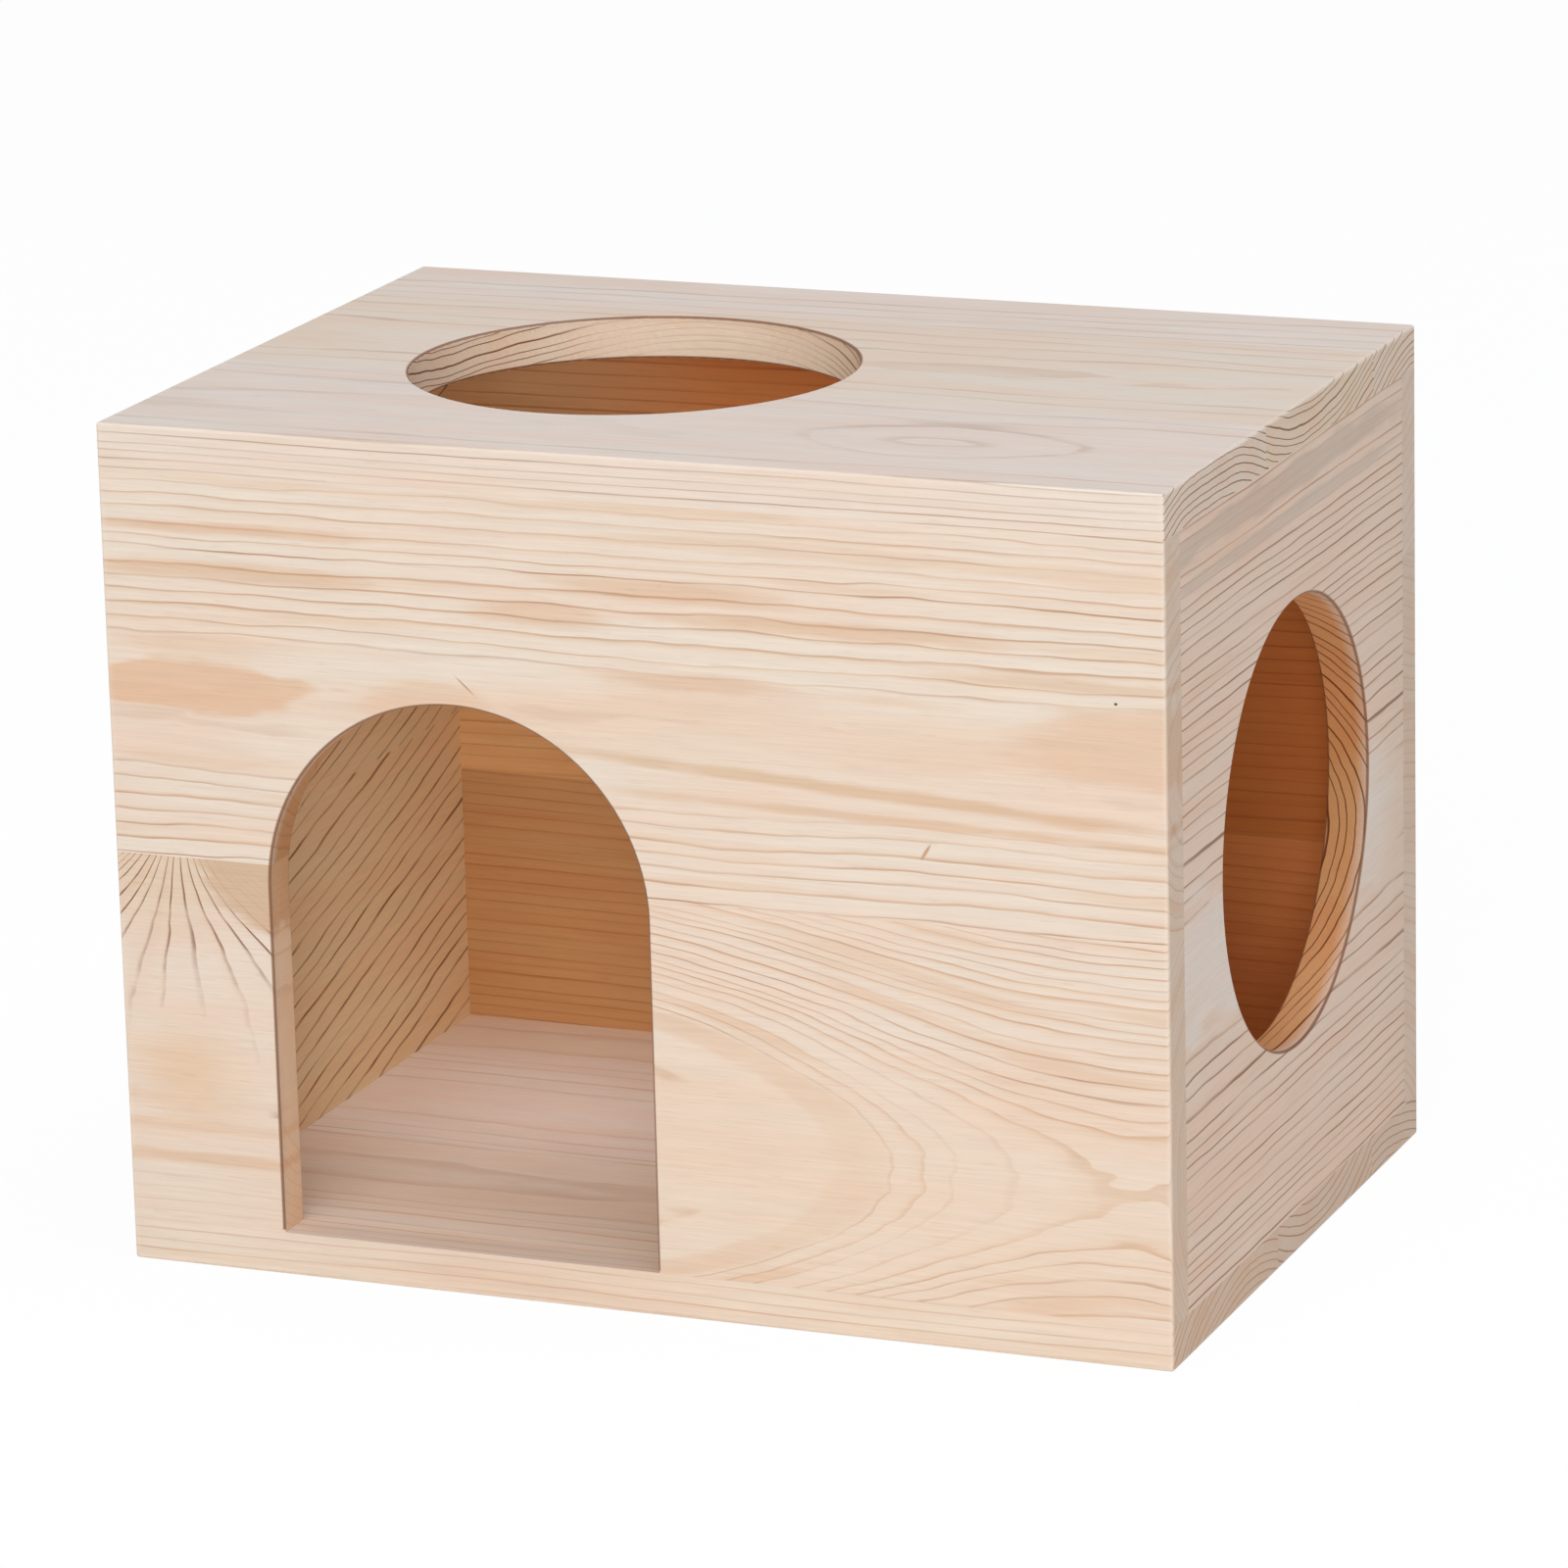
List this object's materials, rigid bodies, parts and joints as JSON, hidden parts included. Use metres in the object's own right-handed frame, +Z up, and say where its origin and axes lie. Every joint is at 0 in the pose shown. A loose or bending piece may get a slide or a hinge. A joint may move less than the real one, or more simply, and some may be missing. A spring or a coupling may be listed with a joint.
{
  "type": "hamster house",
  "caption": "Closed box hide of edge-glued softwood with an arched doorway in front, a round hole in the roof and a round hole in the right wall.",
  "frame": {"origin": "the middle of the underside, on the surface that the house stands on", "axes": "+X to the right along the long side, +Y from the doorway to the back, +Z up"},
  "size_m": [0.2, 0.14, 0.156],
  "materials": {
    "pine": "sanded, unfinished edge-glued pine",
    "beech": "smooth beech dowel rod"
  },
  "bodies": {
    "root": {"roof_board_front": "pine", "roof_board_middle": "pine", "roof_board_rear": "pine", "floor_board_front": "pine", "floor_board_middle": "pine", "floor_board_rear": "pine", "front_board_upper": "pine", "front_board_lower_left": "pine", "front_board_lower_right": "pine", "back_board_lower": "pine", "back_board_middle": "pine", "back_board_upper": "pine", "left_board_lower": "pine", "left_board_upper": "pine", "right_board_lower": "pine", "right_board_upper": "pine", "roof_dowels": "beech", "floor_dowels": "beech", "front_dowels": "beech", "back_dowels": "beech"}
  },
  "joints": []
}
